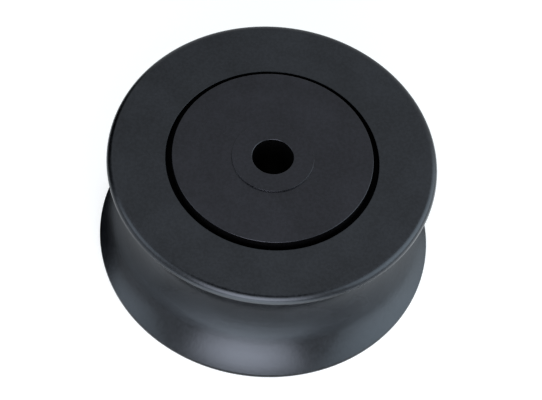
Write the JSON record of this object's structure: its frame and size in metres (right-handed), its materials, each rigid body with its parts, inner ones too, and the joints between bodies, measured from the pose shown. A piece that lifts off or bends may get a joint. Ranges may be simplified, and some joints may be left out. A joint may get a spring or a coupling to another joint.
{
  "type": "grooved rope sheave",
  "caption": "Grooved pulley wheel with wide rounded rope groove, turning on a clamped hub with sealed ball bearings and a plain bolt bore.",
  "frame": {"origin": "centre of the bore at the wheel's mid-width", "axes": "+Z along the bore, out of the upper face; the wheel is round about Z, +X points at the circlips' gaps"},
  "size_m": [0.1, 0.1, 0.049],
  "materials": {
    "black_anodised": "black hard anodised over a fine turned surface, satin",
    "plain_aluminium": "as turned",
    "bearing_steel": "ground, races polished",
    "ball_steel": "polished",
    "spring_steel": "phosphated, dark",
    "cage_nylon": "moulded, natural nylon with glass fibre",
    "seal_rubber": "moulded nitrile rubber on a steel washer"
  },
  "bodies": {
    "hub": {"upper_hub_cover": "black_anodised", "lower_hub_cover": "black_anodised", "inner_spacer": "plain_aluminium", "upper_inner_ring": "bearing_steel", "lower_inner_ring": "bearing_steel"},
    "wheel": {"sheave": "black_anodised", "upper_circlip": "spring_steel", "upper_outer_ring": "bearing_steel", "upper_outboard_seal": "seal_rubber", "upper_inboard_seal": "seal_rubber", "lower_circlip": "spring_steel", "lower_outer_ring": "bearing_steel", "lower_outboard_seal": "seal_rubber", "lower_inboard_seal": "seal_rubber"},
    "upper_cage": {"upper_ball_cage": "cage_nylon"},
    "upper_ball_1_body": {"upper_ball_1": "ball_steel"},
    "upper_ball_2_body": {"upper_ball_2": "ball_steel"},
    "upper_ball_3_body": {"upper_ball_3": "ball_steel"},
    "upper_ball_4_body": {"upper_ball_4": "ball_steel"},
    "upper_ball_5_body": {"upper_ball_5": "ball_steel"},
    "upper_ball_6_body": {"upper_ball_6": "ball_steel"},
    "upper_ball_7_body": {"upper_ball_7": "ball_steel"},
    "upper_ball_8_body": {"upper_ball_8": "ball_steel"},
    "upper_ball_9_body": {"upper_ball_9": "ball_steel"},
    "lower_cage": {"lower_ball_cage": "cage_nylon"},
    "lower_ball_1_body": {"lower_ball_1": "ball_steel"},
    "lower_ball_2_body": {"lower_ball_2": "ball_steel"},
    "lower_ball_3_body": {"lower_ball_3": "ball_steel"},
    "lower_ball_4_body": {"lower_ball_4": "ball_steel"},
    "lower_ball_5_body": {"lower_ball_5": "ball_steel"},
    "lower_ball_6_body": {"lower_ball_6": "ball_steel"},
    "lower_ball_7_body": {"lower_ball_7": "ball_steel"},
    "lower_ball_8_body": {"lower_ball_8": "ball_steel"},
    "lower_ball_9_body": {"lower_ball_9": "ball_steel"}
  },
  "joints": [
    {"name": "sheave_spin", "type": "hinge", "parent": "hub", "child": "wheel", "pos_m": [0, 0, 0], "axis": [0, 0, 1], "continuous": true},
    {"name": "upper_cage_turn", "type": "hinge", "parent": "hub", "child": "upper_cage", "pos_m": [0, 0, 0.0075], "axis": [0, 0, 1], "continuous": true},
    {"name": "upper_ball_1_spin", "type": "hinge", "parent": "upper_cage", "child": "upper_ball_1_body", "pos_m": [0.0155, 0, 0.0075], "axis": [0, 0, 1], "continuous": true},
    {"name": "upper_ball_2_spin", "type": "hinge", "parent": "upper_cage", "child": "upper_ball_2_body", "pos_m": [0.01187, 0.00996, 0.0075], "axis": [0, 0, 1], "continuous": true},
    {"name": "upper_ball_3_spin", "type": "hinge", "parent": "upper_cage", "child": "upper_ball_3_body", "pos_m": [0.00269, 0.01526, 0.0075], "axis": [0, 0, 1], "continuous": true},
    {"name": "upper_ball_4_spin", "type": "hinge", "parent": "upper_cage", "child": "upper_ball_4_body", "pos_m": [-0.00775, 0.01342, 0.0075], "axis": [0, 0, 1], "continuous": true},
    {"name": "upper_ball_5_spin", "type": "hinge", "parent": "upper_cage", "child": "upper_ball_5_body", "pos_m": [-0.01457, 0.0053, 0.0075], "axis": [0, 0, 1], "continuous": true},
    {"name": "upper_ball_6_spin", "type": "hinge", "parent": "upper_cage", "child": "upper_ball_6_body", "pos_m": [-0.01457, -0.0053, 0.0075], "axis": [0, 0, 1], "continuous": true},
    {"name": "upper_ball_7_spin", "type": "hinge", "parent": "upper_cage", "child": "upper_ball_7_body", "pos_m": [-0.00775, -0.01342, 0.0075], "axis": [0, 0, 1], "continuous": true},
    {"name": "upper_ball_8_spin", "type": "hinge", "parent": "upper_cage", "child": "upper_ball_8_body", "pos_m": [0.00269, -0.01526, 0.0075], "axis": [0, 0, 1], "continuous": true},
    {"name": "upper_ball_9_spin", "type": "hinge", "parent": "upper_cage", "child": "upper_ball_9_body", "pos_m": [0.01187, -0.00996, 0.0075], "axis": [0, 0, 1], "continuous": true},
    {"name": "lower_cage_turn", "type": "hinge", "parent": "hub", "child": "lower_cage", "pos_m": [0, 0, -0.0075], "axis": [0, 0, 1], "continuous": true},
    {"name": "lower_ball_1_spin", "type": "hinge", "parent": "lower_cage", "child": "lower_ball_1_body", "pos_m": [0.0155, 0, -0.0075], "axis": [0, 0, 1], "continuous": true},
    {"name": "lower_ball_2_spin", "type": "hinge", "parent": "lower_cage", "child": "lower_ball_2_body", "pos_m": [0.01187, 0.00996, -0.0075], "axis": [0, 0, 1], "continuous": true},
    {"name": "lower_ball_3_spin", "type": "hinge", "parent": "lower_cage", "child": "lower_ball_3_body", "pos_m": [0.00269, 0.01526, -0.0075], "axis": [0, 0, 1], "continuous": true},
    {"name": "lower_ball_4_spin", "type": "hinge", "parent": "lower_cage", "child": "lower_ball_4_body", "pos_m": [-0.00775, 0.01342, -0.0075], "axis": [0, 0, 1], "continuous": true},
    {"name": "lower_ball_5_spin", "type": "hinge", "parent": "lower_cage", "child": "lower_ball_5_body", "pos_m": [-0.01457, 0.0053, -0.0075], "axis": [0, 0, 1], "continuous": true},
    {"name": "lower_ball_6_spin", "type": "hinge", "parent": "lower_cage", "child": "lower_ball_6_body", "pos_m": [-0.01457, -0.0053, -0.0075], "axis": [0, 0, 1], "continuous": true},
    {"name": "lower_ball_7_spin", "type": "hinge", "parent": "lower_cage", "child": "lower_ball_7_body", "pos_m": [-0.00775, -0.01342, -0.0075], "axis": [0, 0, 1], "continuous": true},
    {"name": "lower_ball_8_spin", "type": "hinge", "parent": "lower_cage", "child": "lower_ball_8_body", "pos_m": [0.00269, -0.01526, -0.0075], "axis": [0, 0, 1], "continuous": true},
    {"name": "lower_ball_9_spin", "type": "hinge", "parent": "lower_cage", "child": "lower_ball_9_body", "pos_m": [0.01187, -0.00996, -0.0075], "axis": [0, 0, 1], "continuous": true}
  ],
  "couplings": [
    {"joint": "upper_cage_turn", "follows": "sheave_spin", "ratio": 0.60242},
    {"joint": "upper_ball_1_spin", "follows": "sheave_spin", "ratio": 2.3384},
    {"joint": "upper_ball_2_spin", "follows": "sheave_spin", "ratio": 2.3384},
    {"joint": "upper_ball_3_spin", "follows": "sheave_spin", "ratio": 2.3384},
    {"joint": "upper_ball_4_spin", "follows": "sheave_spin", "ratio": 2.3384},
    {"joint": "upper_ball_5_spin", "follows": "sheave_spin", "ratio": 2.3384},
    {"joint": "upper_ball_6_spin", "follows": "sheave_spin", "ratio": 2.3384},
    {"joint": "upper_ball_7_spin", "follows": "sheave_spin", "ratio": 2.3384},
    {"joint": "upper_ball_8_spin", "follows": "sheave_spin", "ratio": 2.3384},
    {"joint": "upper_ball_9_spin", "follows": "sheave_spin", "ratio": 2.3384},
    {"joint": "lower_cage_turn", "follows": "sheave_spin", "ratio": 0.60242},
    {"joint": "lower_ball_1_spin", "follows": "sheave_spin", "ratio": 2.3384},
    {"joint": "lower_ball_2_spin", "follows": "sheave_spin", "ratio": 2.3384},
    {"joint": "lower_ball_3_spin", "follows": "sheave_spin", "ratio": 2.3384},
    {"joint": "lower_ball_4_spin", "follows": "sheave_spin", "ratio": 2.3384},
    {"joint": "lower_ball_5_spin", "follows": "sheave_spin", "ratio": 2.3384},
    {"joint": "lower_ball_6_spin", "follows": "sheave_spin", "ratio": 2.3384},
    {"joint": "lower_ball_7_spin", "follows": "sheave_spin", "ratio": 2.3384},
    {"joint": "lower_ball_8_spin", "follows": "sheave_spin", "ratio": 2.3384},
    {"joint": "lower_ball_9_spin", "follows": "sheave_spin", "ratio": 2.3384}
  ]
}
